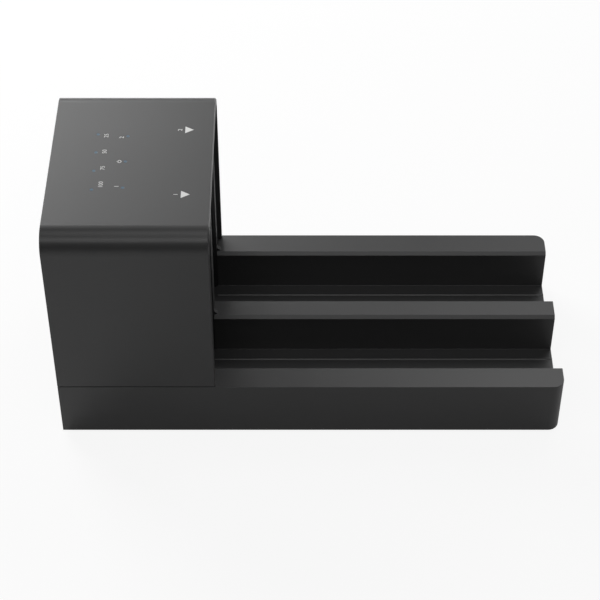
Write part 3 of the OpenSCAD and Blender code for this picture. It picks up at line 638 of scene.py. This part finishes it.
dress(flat_board, "light_board")
dress(zinc, "light_board_screws")
dress(plug_plastic, "light_link")
lamp_white = moulded_plastic(
    "chip_light_white", LAMP_WHITE, LAMP_YELLOW, roughness=0.4, grain=0.0008, relief=0.000004
)
dress(lamp_white, "indicator_leds")
pipe_acrylic = moulded_plastic(
    "milky_acrylic", PIPE_BLUE, PIPE_PALE, roughness=0.32, grain=0.0004, relief=0.000002
)
dress(pipe_acrylic, "progress_light_pipes", "status_light_pipes")

# Tower shell
# The cover over the boards: one black ABS moulding of the same satin finish as the tray, with large
# round edges along its top, a fine chamfer round its front rim and holes for the light pipes.
dress(case_plastic, "tower_shell")
ease_edges(CASE_EDGE, "tower_shell")

# Printed marks
# Pad printing in white on the top of the tower: plain figures beside the lights, a power sign at
# the middle light, and a figure with an arrow at each bay. They read from the open end of the tray.
PROGRESS_FIGURES = ("100", "75", "50", "25")
FIGURE_SIZE = 0.0026
FIGURE_X = -0.0861
FIGURE_FIRST = -0.0146
FIGURE_PITCH = 0.0105
STATUS_X = -0.0796
STATUS_Y = 0.0157
POWER_RADIUS = (0.00062, 0.00088)
POWER_BAR = (0.00013, 0.0002, 0.0011)
POWER_GAP = 70
ARROW_X = -0.0514
ARROW_LONG = 0.0036
ARROW_WIDE = 0.0044
BAY_X = -0.0553
BAY_Y = 0.0207


def printed_figure(mesh, place, body, size):
    """Adds plain figures in ink, centred on their place."""
    letters = bpy.data.curves.new(body, "FONT")
    letters.body = body
    letters.size = size
    letters.align_x = "CENTER"
    letters.align_y = "CENTER"
    letters.extrude = (INK_LAYER[1] - INK_LAYER[0]) / 2
    holder = bpy.data.objects.new(body, letters)
    data = bpy.data.meshes.new_from_object(holder)
    data.transform(place @ Matrix.Translation((0, 0, (INK_LAYER[0] + INK_LAYER[1]) / 2)))
    mesh.from_mesh(data)
    bpy.data.objects.remove(holder)
    bpy.data.meshes.remove(data)
    bpy.data.curves.remove(letters)


def on_top(x, y):
    """A place on the top of the tower, turned so that figures read from the open end of the tray."""
    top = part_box("tower_shell")[1].z
    return Matrix.Translation((x, y, top)) @ Matrix.Rotation(math.radians(90), 4, "Z")


marks = bmesh.new()
for k, figure in enumerate(PROGRESS_FIGURES):
    printed_figure(marks, on_top(FIGURE_X, FIGURE_FIRST + k * FIGURE_PITCH), figure, FIGURE_SIZE)
bar, foot, head = POWER_BAR
printed_ring(marks, on_top(STATUS_X, 0), *POWER_RADIUS, start=90 + POWER_GAP / 2, sweep=360 - POWER_GAP)
printed_outline(marks, on_top(STATUS_X, 0), [(-bar, foot), (bar, foot), (bar, head), (-bar, head)])
for figure, side in (("1", -1), ("2", 1)):
    printed_figure(marks, on_top(STATUS_X, side * STATUS_Y), figure, FIGURE_SIZE)
    printed_figure(marks, on_top(BAY_X, side * BAY_Y), figure, FIGURE_SIZE)
    half_wide = ARROW_WIDE / 2
    printed_outline(marks, on_top(ARROW_X, side * BAY_Y), [
        (-half_wide, ARROW_LONG / 2), (0, -ARROW_LONG / 2), (half_wide, ARROW_LONG / 2),
    ])
top_print = new_piece("printed_marks", marks, white_ink)
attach(top_print, "dock")

# Bottom cover and feet
# A flat black moulding let into the underside, held by blackened steel screws that also pull the
# tower down, with a round rubber foot pressed into a pocket near each corner.
STEEL_BLACK = (0.060, 0.060, 0.063, 1)
STEEL_DULL = (0.035, 0.035, 0.037, 1)
RUBBER = (0.012, 0.012, 0.012, 1)
RUBBER_PALE = (0.020, 0.020, 0.020, 1)

dress(panel_plastic, "bottom_cover")
ease_edges(PANEL_EDGE, "bottom_cover")
black_steel = drawn_metal(
    "blackened_screw", STEEL_BLACK, STEEL_DULL, roughness=0.42, run=(3000, 3000, 9000)
)
dress(black_steel, "tray_screws", "tower_screws")
rubber = moulded_plastic(
    "foot_rubber", RUBBER, RUBBER_PALE, roughness=0.8, grain=0.0005, relief=0.00002
)
dress(rubber, "rubber_feet")
